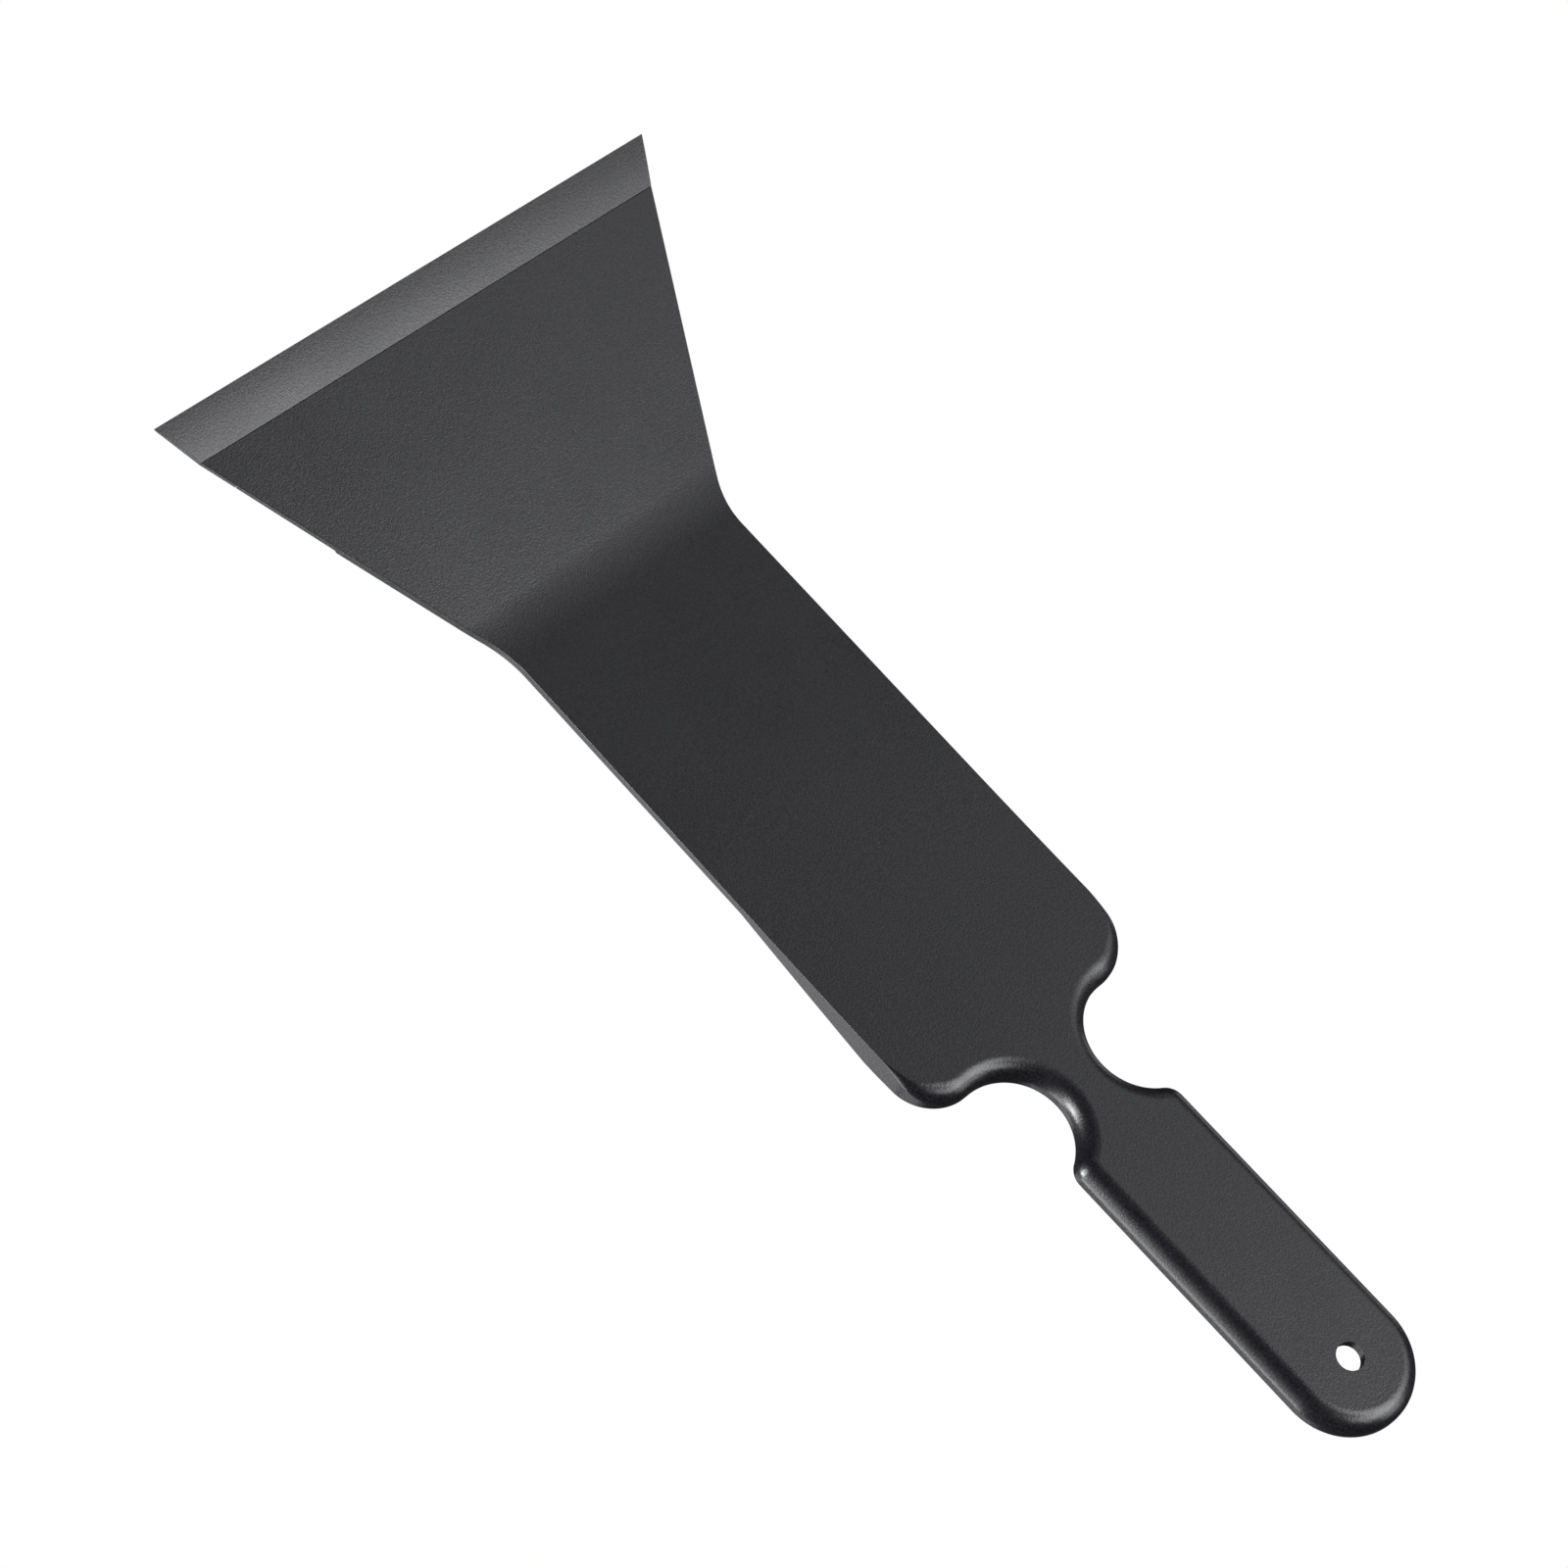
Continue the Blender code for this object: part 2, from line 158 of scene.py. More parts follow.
# The side view: the palm face's and the head's rise, the bend between them, and the depths.
PALM_TILT = math.radians(1.35)
HEAD_TILT = math.radians(17.4)
PALM_REAR = 0.0800
BEND_START = 0.0050
BEND_RADIUS = 0.0520
PLATE = 0.00213
STEP_PLATE = 0.00158
LINE_PLATE = 0.00115
STEP_PLACE = 0.0370
STEP_RUN = 0.0004
REAR_DEPTH = 0.0069
RAMP_LENGTH = 0.0401
LEVEL_LENGTH = 0.0089

# The edge rounds, and where they grow: from a lead before each ear's corner to some degrees round it.
TOP_ROUND = 0.0042
FOOT_ROUND = 0.0016
CRISP_ROUND = 0.00012
FADE_LEAD = 0.0070
FADE_END = 60.0

# The cored underside: the skin over the pockets, the rim round them, the neck's block and the ribs.
SKIN = 0.0026
RIM = 0.0024
NECK_BLOCK = 0.0230
POCKET_ROUND = 0.0010
RIB_COUNT = 2
RIB_THICKNESS = 0.0016
RIB_SPACING = 0.0078
RIB_RECESS = 0.0008
RIB_REACH = 0.0450
RIB_RUNOUT = 0.0180

# The blade's seat under the head's lip, and the blade's reach, which the flare runs out to.
LIP = 0.0005
LAP = 0.0080
BLADE_REACH = 0.0111
BLADE_TILT = math.radians(7.8)

# The making: steps along each curve, the angles from which an edge is softened or drawn crisp, how far
# a cutting tool runs past the plastic, and how near two points are one.
LEAD_STEPS = 12
BOW_STEPS = 8
BEND_STEPS = 24
WAIST_STEPS = 20
EAR_STEPS = 40
NOTCH_STEPS = 64
SHOULDER_STEPS = 16
END_STEPS = 48
ROUND_STEPS = 14
FOOT_STEPS = 8
CORE_STEPS = 32
CORE_END_STEPS = 40
POCKET_STEPS = 4
HOLE_SIDES = 96
SOFTEN_FROM = math.radians(30)
CRISP_FROM = math.radians(35)
RUN_PAST = 0.0050
SAME_POINT = 0.000001

# The finish: grain, clouds of tone and gloss, and specks. A span is the part of a pattern's range used.
GRAIN_SIZE = 0.00050
GRAIN_DEPTH = 0.00004
GRAIN_DETAIL = 1.0
GRAIN_SPAN = (0.35, 0.65)
CLOUD_SCALE = 55.0
CLOUD_DETAIL = 5.0
CLOUD_SPAN = (0.3, 0.7)
CLOUD_SHARE = 0.3
GLOSS_SWING = 0.03
SPECK_SCALE = 380.0
SPECK_SPAN = (0.03, 0.06)
SPECK_CHOICE = (0.3, 1.0)
NYLON_DARK = (0.0005, 0.0005, 0.0022, 1.0)
NYLON_LIGHT = (0.0125, 0.0125, 0.0148, 1.0)
NYLON_SPECK = (0.08, 0.08, 0.08, 1.0)
NYLON_ROUGHNESS = 0.32

# Angles and places that follow from the sizes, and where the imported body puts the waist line.
BLADE_ANGLE = HEAD_TILT + BLADE_TILT
TIP_FRONT = HEAD_LENGTH + BLADE_REACH * math.cos(BLADE_ANGLE)
FLARE = (HEAD_WIDTH - SHAFT_WIDTH) / 2 / TIP_FRONT
FLARE_ANGLE = math.atan(FLARE)
WAIST_TANGENT = WAIST_RADIUS * math.tan(FLARE_ANGLE / 2)
BEND_END = BEND_RADIUS * (math.sin(HEAD_TILT) - math.sin(PALM_TILT)) - BEND_START
EAR_X = SHAFT_WIDTH / 2 - EAR_RADIUS
EAR_Y = -SHAFT_LENGTH + EAR_RADIUS
RAMP_FOOT = EAR_Y + LEVEL_LENGTH
RAMP_HEAD = RAMP_FOOT + RAMP_LENGTH
NOTCH_X = NECK_WIDTH / 2 + NOTCH_RADIUS
NOTCH_Y = -SHAFT_LENGTH - NOTCH_RADIUS
HANDLE_END = -SHAFT_LENGTH - HANDLE_LENGTH
END_CENTRE = HANDLE_END + HANDLE_WIDTH / 2
body_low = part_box("squeegee_body")[0]
WAIST_Y = body_low[1] - HANDLE_END
LEVEL_Z = body_low[2] + REAR_DEPTH


def side(y):
    """Half the width at y, and the way that the edge faces there."""
    if y <= -WAIST_TANGENT:
        return SHAFT_WIDTH / 2, 0.0
    if y >= WAIST_TANGENT * math.cos(FLARE_ANGLE):
        return SHAFT_WIDTH / 2 + FLARE * y, -FLARE_ANGLE
    rise = y + WAIST_TANGENT
    hollow = math.sqrt(WAIST_RADIUS ** 2 - rise ** 2)
    return SHAFT_WIDTH / 2 + WAIST_RADIUS - hollow, -math.asin(rise / WAIST_RADIUS)


def climb(y):
    """Height of the top face at y above the level rear, and its slope there, which turns in arcs."""
    turns = ((RAMP_FOOT, 0.0), (-PALM_REAR, PALM_TILT), (-BEND_START, PALM_TILT), (BEND_END, HEAD_TILT))
    height = 0.0
    slope = 0.0
    for (rear, rear_slope), (front, front_slope) in zip(turns, turns[1:]):
        share = min(max((y - rear) / (front - rear), 0.0), 1.0)
        if share > 0:
            climbed = share * (math.sin(front_slope) - math.sin(rear_slope))
            slope = math.asin(math.sin(rear_slope) + climbed)
            height += share * (front - rear) * math.tan((rear_slope + slope) / 2)
    return height + max(y - BEND_END, 0.0) * math.tan(HEAD_TILT), slope


def palm(y):
    """Height of the top face at y."""
    return climb(y)[0]


def sole(y):
    """Height of the bottom face at y: tapered front plate, step, plate, ramp, full depth behind."""
    if y >= STEP_PLACE:
        share = min((y - STEP_PLACE) / STEP_RUN, 1.0)
        taper = (y - STEP_PLACE) / (HEAD_LENGTH - STEP_PLACE)
        depth = PLATE + (STEP_PLATE + (LINE_PLATE - STEP_PLATE) * taper - PLATE) * share
    else:
        share = min(max((RAMP_HEAD - y) / RAMP_LENGTH, 0.0), 1.0)
        depth = PLATE + (REAR_DEPTH - PLATE) * share
    height, slope = climb(y)
    return height - depth / math.cos(slope)


def arc(x, y, radius, start, end, steps, hollow=False):
    """Points (x, y, outward angle) along an arc given in degrees. A hollow arc faces its own centre."""
    points = []
    for i in range(steps + 1):
        angle = math.radians(start + (end - start) * i / steps)
        facing = angle + math.pi if hollow else angle
        points.append((x + radius * math.cos(angle), y + radius * math.sin(angle), facing))
    return points


def fade(run):
    """Share of the full edge rounds, a distance along the edge past the start of the ear's corner."""
    share = (run + FADE_LEAD) / (FADE_LEAD + EAR_RADIUS * math.radians(FADE_END))
    share = min(max(share, 0.0), 1.0)
    return share * share * (3 - 2 * share)


def plan_outline():
    """Right half of the plan, front to rear: (x, y, way in x, way in y, share of the edge round)."""
    places = [HEAD_LENGTH, STEP_PLACE + STEP_RUN, STEP_PLACE, RAMP_HEAD]
    places += [EAR_Y + FADE_LEAD * i / LEAD_STEPS for i in range(1, LEAD_STEPS + 1)]
    places += [RAMP_FOOT - (PALM_REAR + RAMP_FOOT) * i / BOW_STEPS for i in range(BOW_STEPS + 1)]
    for i in range(BEND_STEPS + 1):
        turned = PALM_TILT + (HEAD_TILT - PALM_TILT) * i / BEND_STEPS
        places.append(BEND_RADIUS * (math.sin(turned) - math.sin(PALM_TILT)) - BEND_START)
    for i in range(WAIST_STEPS + 1):
        places.append(WAIST_RADIUS * math.sin(FLARE_ANGLE * i / WAIST_STEPS) - WAIST_TANGENT)
    points = []
    for y in sorted(places, reverse=True):
        x, facing = side(y)
        points.append((x, y, math.cos(facing), math.sin(facing), fade(EAR_Y - y)))
    front_x, front_y = points[0][:2]
    mitre = math.tan(math.pi / 4 - side(front_y)[1] / 2)
    points[0] = (front_x, front_y, mitre, 1.0, 0.0)
    for x, y, facing in arc(EAR_X, EAR_Y, EAR_RADIUS, 0, -90, EAR_STEPS):
        points.append((x, y, math.cos(facing), math.sin(facing), fade(-facing * EAR_RADIUS)))
    rear = arc(NOTCH_X, NOTCH_Y, NOTCH_RADIUS, 90, 90 + NOTCH_SWEEP, NOTCH_STEPS, hollow=True)
    last_x, last_y, _ = rear[-1]
    turn = math.radians(NOTCH_SWEEP - 90)
    run = (HANDLE_WIDTH / 2 - last_x) / math.sin(turn)
    corner_y = last_y - run * math.cos(turn)
    radius = min(SHOULDER_RADIUS, run / math.tan(turn / 2))
    shoulder_y = corner_y - radius * math.tan(turn / 2)
    shoulder_x = HANDLE_WIDTH / 2 - radius
    rear += arc(shoulder_x, shoulder_y, radius, math.degrees(turn), 0, SHOULDER_STEPS)
    rear += arc(0, END_CENTRE, HANDLE_WIDTH / 2, 0, -90, END_STEPS)
    points += [(x, y, math.cos(facing), math.sin(facing), 1.0) for x, y, facing in rear]
    return points


def edge_levels():
    """Levels of the side wall, top to bottom: inset and lift in radii, from which face, which round."""
    levels = []
    for i in range(ROUND_STEPS + 1):
        turn = math.pi / 2 * i / ROUND_STEPS
        levels.append((1 - math.sin(turn), math.cos(turn) - 1, palm, TOP_ROUND))
    for i in range(FOOT_STEPS + 1):
        turn = math.pi / 2 * i / FOOT_STEPS
        levels.append((1 - math.cos(turn), 1 - math.sin(turn), sole, FOOT_ROUND))
    return levels


def moulded_blank():
    """The body before its cores: one ring of points at each level, and faces between the rings."""
    right = plan_outline()
    left = [(-x, y, -way_x, way_y, share) for x, y, way_x, way_y, share in right[-2::-1]]
    shape = bmesh.new()
    rings = []
    for inset, lift, face, radius in edge_levels():
        ring = []
        for x, y, way_x, way_y, share in right + left:
            size = CRISP_ROUND + (radius - CRISP_ROUND) * share
            ring_x = x - inset * size * way_x
            ring_y = y - inset * size * way_y
            ring_z = face(ring_y) + lift * size
            ring.append(shape.verts.new((ring_x, ring_y + WAIST_Y, ring_z + LEVEL_Z)))
        rings.append(ring)
    count = len(rings[0])
    for upper, lower in zip(rings, rings[1:]):
        for i in range(count):
            j = (i + 1) % count
            shape.faces.new((upper[i], upper[j], lower[j], lower[i]))
    straight = sum(1 for point in right if point[1] > EAR_Y)
    for ring in (rings[0], rings[-1]):
        for i in range(straight - 1):
            shape.faces.new((ring[i], ring[i + 1], ring[-2 - i], ring[-1 - i]))
        shape.faces.new(ring[straight - 1:count - straight + 1])
    bmesh.ops.remove_doubles(shape, verts=shape.verts, dist=SAME_POINT)
    bmesh.ops.recalc_face_normals(shape, faces=shape.faces)
    return shape


def as_object(name, shape):
    """A finished shape as an object at the origin, with its place in its mesh."""
    mesh = bpy.data.meshes.new(name)
    shape.to_mesh(mesh)
    shape.free()
    item = bpy.data.objects.new(name, mesh)
    bpy.context.collection.objects.link(item)
    return item


def core_block(name, walls, low, high):
    """A steel core of the mould: half its outline, mirrored, as a block between two heights."""
    right = [point[:2] for point in walls]
    both = right + [(-x, y) for x, y in reversed(right) if x > SAME_POINT]
    shape = bmesh.new()
    ring = [shape.verts.new((x, y + WAIST_Y, low + LEVEL_Z)) for x, y in both]
    base = shape.faces.new(ring)
    grown = bmesh.ops.extrude_face_region(shape, geom=[base])["geom"]
    tops = [item for item in grown if isinstance(item, bmesh.types.BMVert)]
    bmesh.ops.translate(shape, verts=tops, vec=(0, 0, high - low))
    bmesh.ops.recalc_face_normals(shape, faces=shape.faces)
    return as_object(name, shape)


def side_view(name, points):
    """A single face in the plane across the tool, drawn as (y, z) from the waist line, for a recipe."""
    shape = bmesh.new()
    shape.faces.new([shape.verts.new((0, y + WAIST_Y, z + LEVEL_Z)) for y, z in points])
    return as_object(name, shape)


def join_with(target, tool, operation="DIFFERENCE"):
    """Cut a tool out of an object, or weld it on with "UNION"."""
    boolean = target.modifiers.new(tool.name, "BOOLEAN")
    boolean.object = tool
    boolean.operation = operation
    boolean.solver = "EXACT"


def soften_edges(item, width, segments):
    """Round off an object's sharp edges."""
    bevel = item.modifiers.new("soften", "BEVEL")
    bevel.width = width
    bevel.segments = segments
    bevel.limit_method = "ANGLE"
    bevel.angle_limit = SOFTEN_FROM


def settle(item, scratch):
    """Turn an object and its modifiers into a plain mesh, and clear away the tools that shaped it."""
    bpy.context.view_layer.update()
    evaluated = item.evaluated_get(bpy.context.evaluated_depsgraph_get())
    mesh = bpy.data.meshes.new_from_object(evaluated)
    item.modifiers.clear()
    item.data = mesh
    for tool in scratch:
        bpy.data.objects.remove(tool)


def shade_moulding(item):
    """Smooth shading that stays flat on the flat faces and breaks at the crisp edges."""
    item.data.set_sharp_from_angle(angle=CRISP_FROM)
    for polygon in item.data.polygons:
        polygon.use_smooth = True
    weights = item.modifiers.new("weights", "WEIGHTED_NORMAL")
    weights.keep_sharp = True
    settle(item, [])


def recipe(name, sizes):
    """An empty Geometry Nodes tree: geometry in and out, and a named input for each size."""
    tree = bpy.data.node_groups.new(name, "GeometryNodeTree")
    tree.interface.new_socket("Geometry", in_out="INPUT", socket_type="NodeSocketGeometry")
    for label, kind in sizes:
        tree.interface.new_socket(label, in_out="INPUT", socket_type="NodeSocket" + kind)
    tree.interface.new_socket("Geometry", in_out="OUTPUT", socket_type="NodeSocketGeometry")
    return tree, tree.nodes.new("NodeGroupInput"), tree.nodes.new("NodeGroupOutput")


def follow(item, tree, values):
    """Shape an object by a recipe. Each input is set by its socket's identifier."""
    modifier = item.modifiers.new(tree.name, "NODES")
    modifier.node_group = tree
    for socket in tree.interface.items_tree:
        if socket.name in values:
            modifier[socket.identifier] = values[socket.name]


def closed_bar(tree, view, length):
    """Nodes that draw a side view out along x by a length into a closed bar."""
    way = tree.nodes.new("ShaderNodeCombineXYZ")
    drawn = tree.nodes.new("GeometryNodeExtrudeMesh")
    drawn.inputs["Individual"].default_value = False
    turned = tree.nodes.new("GeometryNodeFlipFaces")
    both = tree.nodes.new("GeometryNodeJoinGeometry")
    welded = tree.nodes.new("GeometryNodeMergeByDistance")
    welded.inputs["Distance"].default_value = SAME_POINT
    tree.links.new(length, way.inputs["X"])
    tree.links.new(view, drawn.inputs["Mesh"])
    tree.links.new(way.outputs[0], drawn.inputs["Offset"])
    tree.links.new(view, turned.inputs["Mesh"])
    tree.links.new(drawn.outputs["Mesh"], both.inputs[0])
    tree.links.new(turned.outputs["Mesh"], both.inputs[0])
    tree.links.new(both.outputs[0], welded.inputs["Geometry"])
    return welded.outputs["Geometry"]


def rib_recipe():
    """Like bars side by side: one rib's side view, drawn to its thickness and set out at a spacing."""
    sizes = (("Count", "Int"), ("Spacing", "Float"), ("Thickness", "Float"), ("Finish", "Material"))
    tree, inputs, outputs = recipe("ribs", sizes)
    bar = closed_bar(tree, inputs.outputs["Geometry"], inputs.outputs["Thickness"])
    row = tree.nodes.new("GeometryNodeMeshLine")
    step = tree.nodes.new("ShaderNodeCombineXYZ")
    gaps = tree.nodes.new("ShaderNodeMath")
    gaps.operation = "SUBTRACT"
    gaps.inputs[1].default_value = 1.0
    reach = tree.nodes.new("ShaderNodeMath")
    reach.operation = "MULTIPLY_ADD"
    half = tree.nodes.new("ShaderNodeMath")
    half.operation = "MULTIPLY"
    half.inputs[1].default_value = -0.5
    start = tree.nodes.new("ShaderNodeCombineXYZ")
    copies = tree.nodes.new("GeometryNodeInstanceOnPoints")
    solid = tree.nodes.new("GeometryNodeRealizeInstances")
    coat = tree.nodes.new("GeometryNodeSetMaterial")
    links = (
        (inputs.outputs["Spacing"], step.inputs["X"]),
        (inputs.outputs["Count"], gaps.inputs[0]),
        (inputs.outputs["Spacing"], reach.inputs[0]),
        (gaps.outputs[0], reach.inputs[1]),
        (inputs.outputs["Thickness"], reach.inputs[2]),
        (reach.outputs[0], half.inputs[0]),
        (half.outputs[0], start.inputs["X"]),
        (inputs.outputs["Count"], row.inputs["Count"]),
        (start.outputs[0], row.inputs["Start Location"]),
        (step.outputs[0], row.inputs["Offset"]),
        (row.outputs["Mesh"], copies.inputs["Points"]),
        (bar, copies.inputs["Instance"]),
        (copies.outputs["Instances"], solid.inputs["Geometry"]),
        (solid.outputs["Geometry"], coat.inputs["Geometry"]),
        (inputs.outputs["Finish"], coat.inputs["Material"]),
        (coat.outputs["Geometry"], outputs.inputs["Geometry"]),
    )
    for output, target in links:
        tree.links.new(output, target)
    return tree


def rib_view():
    """Side view of a rib: out of the shaft's skin, level through the neck, into the handle's skin."""
    rear = RAMP_FOOT
    front = RAMP_HEAD
    while front - rear > SAME_POINT:
        middle = (rear + front) / 2
        if sole(middle) < -SKIN - RIB_RECESS:
            rear = middle
        else:
            front = middle
    edge = RIB_RECESS - REAR_DEPTH
    run_out = NOTCH_Y - RIB_REACH
    root = -SKIN / 2
    lower = [(rear, root), (rear, -SKIN), (RAMP_FOOT, edge), (run_out, edge)]
    return lower + [(run_out - RIB_RUNOUT, -SKIN), (run_out - RIB_RUNOUT, root)]


def head_point(back, down):
    """(y, z) of a point of the head: how far behind the blade, and how far below its top face."""
    y = HEAD_LENGTH - back * math.cos(HEAD_TILT) + down * math.sin(HEAD_TILT)
    return y, palm(HEAD_LENGTH) - back * math.sin(HEAD_TILT) - down * math.cos(HEAD_TILT)


def moulded_plastic(name, dark, light, speck_colour, roughness):
    """Matte moulded plastic: an eroded grain, cloudy colour and gloss, and a few paler specks."""
    material = bpy.data.materials.new(name)
    material.use_nodes = True
    tree = material.node_tree
    shader = tree.nodes["Principled BSDF"]
    place = tree.nodes.new("ShaderNodeTexCoord").outputs["Object"]

    def noise(scale, detail):
        texture = tree.nodes.new("ShaderNodeTexNoise")
        texture.inputs["Scale"].default_value = scale
        texture.inputs["Detail"].default_value = detail
        tree.links.new(place, texture.inputs["Vector"])
        return texture.outputs["Fac"]

    def span(value, low, high, out_low, out_high):
        node = tree.nodes.new("ShaderNodeMapRange")
        for socket, number in zip(node.inputs[1:5], (low, high, out_low, out_high)):
            socket.default_value = number
        tree.links.new(value, node.inputs[0])
        return node.outputs[0]

    clouds = noise(CLOUD_SCALE, CLOUD_DETAIL)
    grain = noise(1.0 / GRAIN_SIZE, GRAIN_DETAIL)
    colour = tree.nodes.new("ShaderNodeMix")
    colour.data_type = "RGBA"
    colour.inputs["A"].default_value = dark
    colour.inputs["B"].default_value = light
    tone = tree.nodes.new("ShaderNodeMath")
    tone.operation = "MULTIPLY_ADD"
    tone.inputs[1].default_value = CLOUD_SHARE
    tree.links.new(clouds, tone.inputs[0])
    tree.links.new(span(grain, *GRAIN_SPAN, 0.0, 1.0 - CLOUD_SHARE), tone.inputs[2])
    tree.links.new(tone.outputs[0], colour.inputs["Factor"])
    specks = tree.nodes.new("ShaderNodeTexVoronoi")
    specks.inputs["Scale"].default_value = SPECK_SCALE
    tree.links.new(place, specks.inputs["Vector"])
    near = span(specks.outputs["Distance"], *SPECK_SPAN, 1.0, 0.0)
    few = tree.nodes.new("ShaderNodeSeparateColor")
    tree.links.new(specks.outputs["Color"], few.inputs["Color"])
    chosen = span(few.outputs["Red"], *SPECK_CHOICE, 0.0, 1.0)
    speck = tree.nodes.new("ShaderNodeMath")
    speck.operation = "MULTIPLY"
    tree.links.new(near, speck.inputs[0])
    tree.links.new(chosen, speck.inputs[1])
    speckled = tree.nodes.new("ShaderNodeMix")
    speckled.data_type = "RGBA"
    speckled.inputs["B"].default_value = speck_colour
    tree.links.new(speck.outputs[0], speckled.inputs["Factor"])
    tree.links.new(colour.outputs["Result"], speckled.inputs["A"])
    tree.links.new(speckled.outputs["Result"], shader.inputs["Base Color"])
    gloss = span(clouds, *CLOUD_SPAN, roughness - GLOSS_SWING, roughness + GLOSS_SWING)
    tree.links.new(gloss, shader.inputs["Roughness"])
    bump = tree.nodes.new("ShaderNodeBump")
    bump.inputs["Strength"].default_value = 1.0
    bump.inputs["Distance"].default_value = GRAIN_DEPTH
    tree.links.new(grain, bump.inputs["Height"])
    tree.links.new(bump.outputs["Normal"], shader.inputs["Normal"])
    return material


black_nylon = moulded_plastic("black_nylon", NYLON_DARK, NYLON_LIGHT, NYLON_SPECK, NYLON_ROUGHNESS)
body = as_object("moulded_body", moulded_blank())
half_block = math.degrees(math.asin(NECK_BLOCK / 2 / (NOTCH_RADIUS + RIM)))
handle_inner = HANDLE_WIDTH / 2 - RIM
shaft_walls = [(SHAFT_WIDTH / 2 - RIM, RAMP_HEAD + RUN_PAST)]
shaft_walls += arc(EAR_X, EAR_Y, EAR_RADIUS - RIM, 0, -90, CORE_STEPS)
shaft_walls += arc(NOTCH_X, NOTCH_Y, NOTCH_RADIUS + RIM, 90, 180 - half_block, CORE_STEPS)
meet = 180 + math.degrees(math.acos((NOTCH_X - handle_inner) / (NOTCH_RADIUS + RIM)))
handle_walls = arc(NOTCH_X, NOTCH_Y, NOTCH_RADIUS + RIM, 180 + half_block, meet, CORE_STEPS)
handle_walls += arc(0, END_CENTRE, handle_inner, 0, -90, CORE_END_STEPS)
tools = []
for name, walls in (("shaft_core", shaft_walls), ("handle_core", handle_walls)):
    core = core_block(name, walls, -REAR_DEPTH - RUN_PAST, -SKIN)
    soften_edges(core, POCKET_ROUND, POCKET_STEPS)
    join_with(body, core)
    tools.append(core)
ribs = side_view("ribs", rib_view())
follow(ribs, rib_recipe(),
       {"Count": RIB_COUNT, "Spacing": RIB_SPACING, "Thickness": RIB_THICKNESS, "Finish": black_nylon})
settle(ribs, [])
join_with(body, ribs, "UNION")
tools.append(ribs)
bpy.ops.mesh.primitive_cylinder_add(
    vertices=HOLE_SIDES, radius=HOLE_DIAMETER / 2, depth=2 * RUN_PAST)
pin = bpy.context.object
pin.location = (0, WAIST_Y + HANDLE_END + HOLE_FROM_END, LEVEL_Z - SKIN / 2)
join_with(body, pin)
tools.append(pin)
seat_shape = bmesh.new()
bmesh.ops.create_cube(seat_shape, size=1)
seat_size = (HEAD_WIDTH + RUN_PAST, LAP + RUN_PAST, STEP_PLATE - LIP + RUN_PAST)
seat_y, seat_z = head_point(LAP - seat_size[1] / 2, LIP + seat_size[2] / 2)
seat_place = Matrix.Translation((0, seat_y + WAIST_Y, seat_z + LEVEL_Z))
seat_turn = Matrix.Rotation(HEAD_TILT, 4, "X")
seat_shape.transform(seat_place @ seat_turn @ Matrix.Diagonal((*seat_size, 1)))
seat = as_object("blade_seat", seat_shape)
join_with(body, seat)
tools.append(seat)
settle(body, tools)
body.data.materials.clear()
body.data.materials.append(black_nylon)
shade_moulding(body)
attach(body, "root")
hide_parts("squeegee_body")


# Blade: a strip of a paler plastic that feathers to the working edge. Its tongue is bonded into a
# rebate under the head's lip, and its ends are trimmed in line with the head's flared sides.
BLADE_TIP = 0.0004
BLADE_CROWN = 0.00019
CROWN_STEPS = 14
BLADE_FIT = 0.00006
EDGE_BREAK = 0.00006
BREAK_STEPS = 3
DRAWN_SPAN = 2.0
BLADE_DARK = (0.004, 0.004, 0.006, 1.0)
BLADE_LIGHT = (0.026, 0.026, 0.028, 1.0)
BLADE_SPECK = (0.10, 0.10, 0.10, 1.0)
BLADE_ROUGHNESS = 0.355


def blade_view():
    """Side view of the blade: tongue under the lip, shoulder, crowned top and thin front edge."""
    slot = LIP + BLADE_FIT
    back = LAP - BLADE_FIT
    shoulder_y = HEAD_LENGTH + BLADE_FIT
    tongue_root = (shoulder_y, palm(shoulder_y) - slot / math.cos(HEAD_TILT))
    shoulder = (shoulder_y, palm(HEAD_LENGTH) + BLADE_FIT * math.tan(BLADE_ANGLE))
    tip_z = palm(HEAD_LENGTH) + BLADE_REACH * math.sin(BLADE_ANGLE)
    tip_bottom = (TIP_FRONT, tip_z - BLADE_TIP / math.cos(BLADE_ANGLE))
    tongue_y = head_point(back, STEP_PLATE)[0]
    tongue = [(tongue_y, sole(tongue_y)), head_point(back, slot), tongue_root]
    crown = []
    for i in range(CROWN_STEPS):
        share = i / CROWN_STEPS
        lift = 4 * BLADE_CROWN * share * (1 - share)
        crown_y = shoulder[0] + share * (TIP_FRONT - shoulder[0]) - lift * math.sin(BLADE_ANGLE)
        crown_z = shoulder[1] + share * (tip_z - shoulder[1]) + lift * math.cos(BLADE_ANGLE)
        crown.append((crown_y, crown_z))
    return tongue + crown + [(TIP_FRONT, tip_z), tip_bottom, head_point(0, LINE_PLATE)]


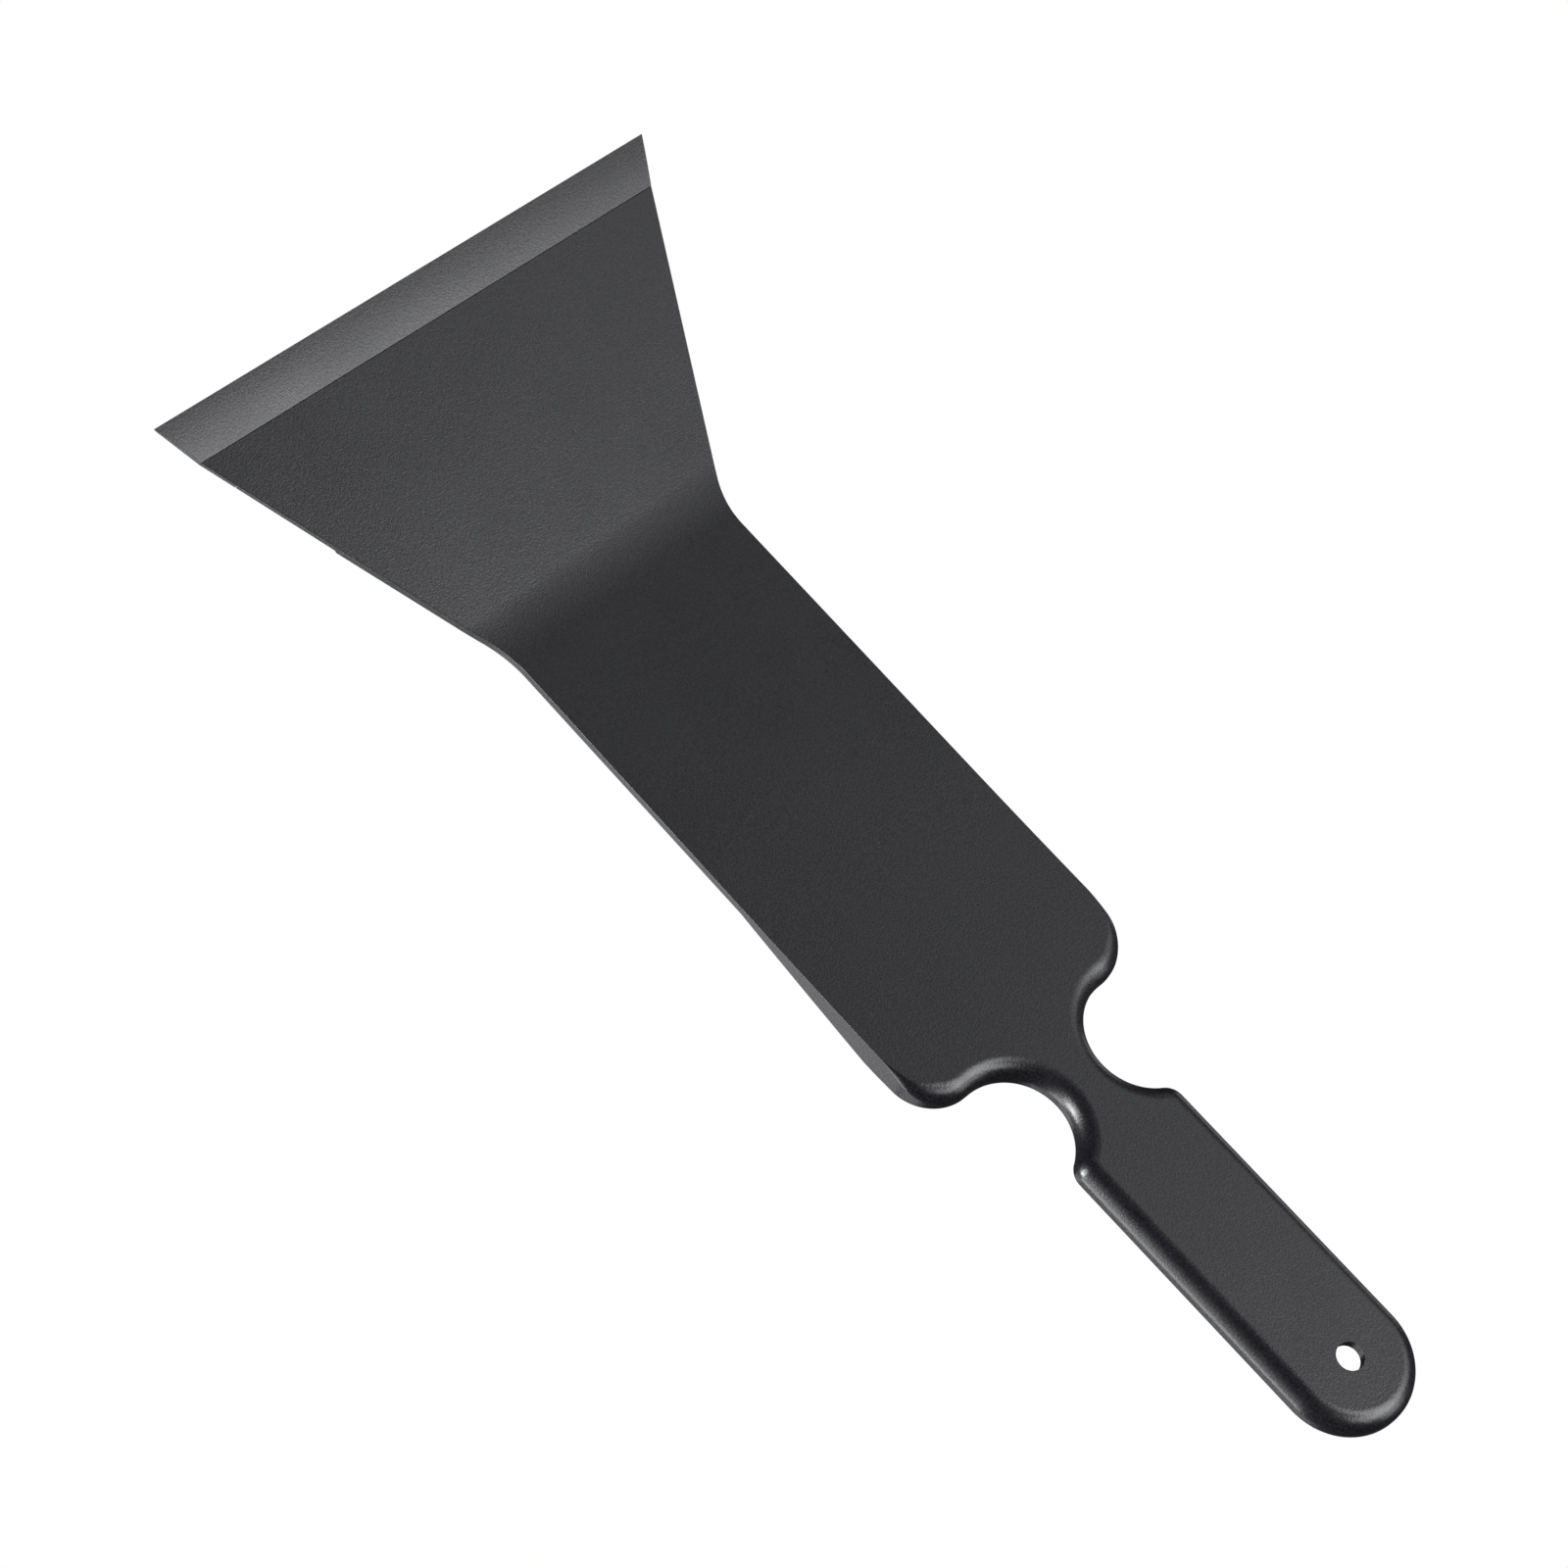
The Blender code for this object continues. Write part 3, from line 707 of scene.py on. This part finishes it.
def blade_recipe():
    """A side view drawn across the tool, then widened with y so that its ends follow the flare."""
    sizes = (("Half width", "Float"), ("Flare", "Float"), ("Finish", "Material"))
    tree, inputs, outputs = recipe("blade", sizes)
    drawn = tree.nodes.new("ShaderNodeValue")
    drawn.outputs[0].default_value = DRAWN_SPAN
    bar = closed_bar(tree, inputs.outputs["Geometry"], drawn.outputs[0])
    place = tree.nodes.new("GeometryNodeInputPosition")
    apart = tree.nodes.new("ShaderNodeSeparateXYZ")
    centred = tree.nodes.new("ShaderNodeMath")
    centred.operation = "SUBTRACT"
    centred.inputs[1].default_value = DRAWN_SPAN / 2
    width = tree.nodes.new("ShaderNodeMath")
    width.operation = "MULTIPLY_ADD"
    spread = tree.nodes.new("ShaderNodeMath")
    spread.operation = "MULTIPLY"
    together = tree.nodes.new("ShaderNodeCombineXYZ")
    moved = tree.nodes.new("GeometryNodeSetPosition")
    solid = tree.nodes.new("GeometryNodeRealizeInstances")
    coat = tree.nodes.new("GeometryNodeSetMaterial")
    links = (
        (place.outputs[0], apart.inputs[0]),
        (apart.outputs["X"], centred.inputs[0]),
        (apart.outputs["Y"], width.inputs[0]),
        (inputs.outputs["Flare"], width.inputs[1]),
        (inputs.outputs["Half width"], width.inputs[2]),
        (centred.outputs[0], spread.inputs[0]),
        (width.outputs[0], spread.inputs[1]),
        (spread.outputs[0], together.inputs["X"]),
        (apart.outputs["Y"], together.inputs["Y"]),
        (apart.outputs["Z"], together.inputs["Z"]),
        (bar, moved.inputs["Geometry"]),
        (together.outputs[0], moved.inputs["Position"]),
        (moved.outputs["Geometry"], solid.inputs["Geometry"]),
        (solid.outputs["Geometry"], coat.inputs["Geometry"]),
        (inputs.outputs["Finish"], coat.inputs["Material"]),
        (coat.outputs["Geometry"], outputs.inputs["Geometry"]),
    )
    for output, target in links:
        tree.links.new(output, target)
    return tree


blade_plastic = moulded_plastic("blade_plastic", BLADE_DARK, BLADE_LIGHT, BLADE_SPECK, BLADE_ROUGHNESS)
blade = side_view("blade", blade_view())
follow(blade, blade_recipe(),
       {"Half width": SHAFT_WIDTH / 2 - FLARE * WAIST_Y, "Flare": FLARE, "Finish": blade_plastic})
settle(blade, [])
soften_edges(blade, EDGE_BREAK, BREAK_STEPS)
settle(blade, [])
shade_moulding(blade)
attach(blade, "root")
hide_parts("blade_strip")
